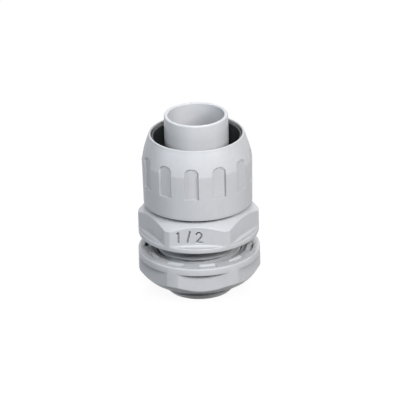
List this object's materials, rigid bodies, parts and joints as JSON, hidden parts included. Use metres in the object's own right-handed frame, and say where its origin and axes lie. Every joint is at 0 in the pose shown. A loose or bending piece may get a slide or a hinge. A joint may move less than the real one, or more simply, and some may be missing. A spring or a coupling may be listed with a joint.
{
  "type": "liquidtight conduit connector",
  "caption": "Straight plastic connector that joins flexible conduit to an enclosure wall, with a fluted compression nut, a hexagonal body, an entry thread and a hexagonal locknut with grip pockets in its face.",
  "frame": {"origin": "on the axis at the open end of the entry thread, which is the lowest point of the part", "axes": "+Z along the axis from the entry thread to the spigot; -Y towards the marked flat of the hexagon"},
  "size_m": [0.0306, 0.0306, 0.0472],
  "materials": {
    "grey_moulding": "satin light grey moulded nylon",
    "black_elastomer": "matt black moulded elastomer"
  },
  "bodies": {
    "body": {"connector_body": "grey_moulding"},
    "seal_ring": {"sealing_ring": "black_elastomer"},
    "nut": {"compression_nut": "grey_moulding"},
    "flange_seal": {"face_seal": "black_elastomer"},
    "wall_nut": {"locknut": "grey_moulding"}
  },
  "joints": [
    {"name": "nut_travel", "type": "slide", "parent": "body", "child": "seal_ring", "axis": [0, 0, 1], "range_m": [-0.0004, 0.0046]},
    {"name": "nut_turn", "type": "hinge", "parent": "seal_ring", "child": "nut", "pos_m": [0, 0, 0.03], "axis": [0, 0, 1], "range_deg": [-90, 1080]},
    {"name": "locknut_turn", "type": "hinge", "parent": "body", "child": "flange_seal", "pos_m": [0, 0, 0.0156], "axis": [0, 0, 1], "range_deg": [-660, 660]},
    {"name": "locknut_travel", "type": "slide", "parent": "flange_seal", "child": "wall_nut", "axis": [0, 0, 1], "range_m": [-0.0034, 0.0034]}
  ],
  "couplings": [
    {"joint": "nut_travel", "follows": "nut_turn", "m_per_rad": 0.00023873},
    {"joint": "locknut_travel", "follows": "locknut_turn", "m_per_rad": 0.00028871}
  ]
}
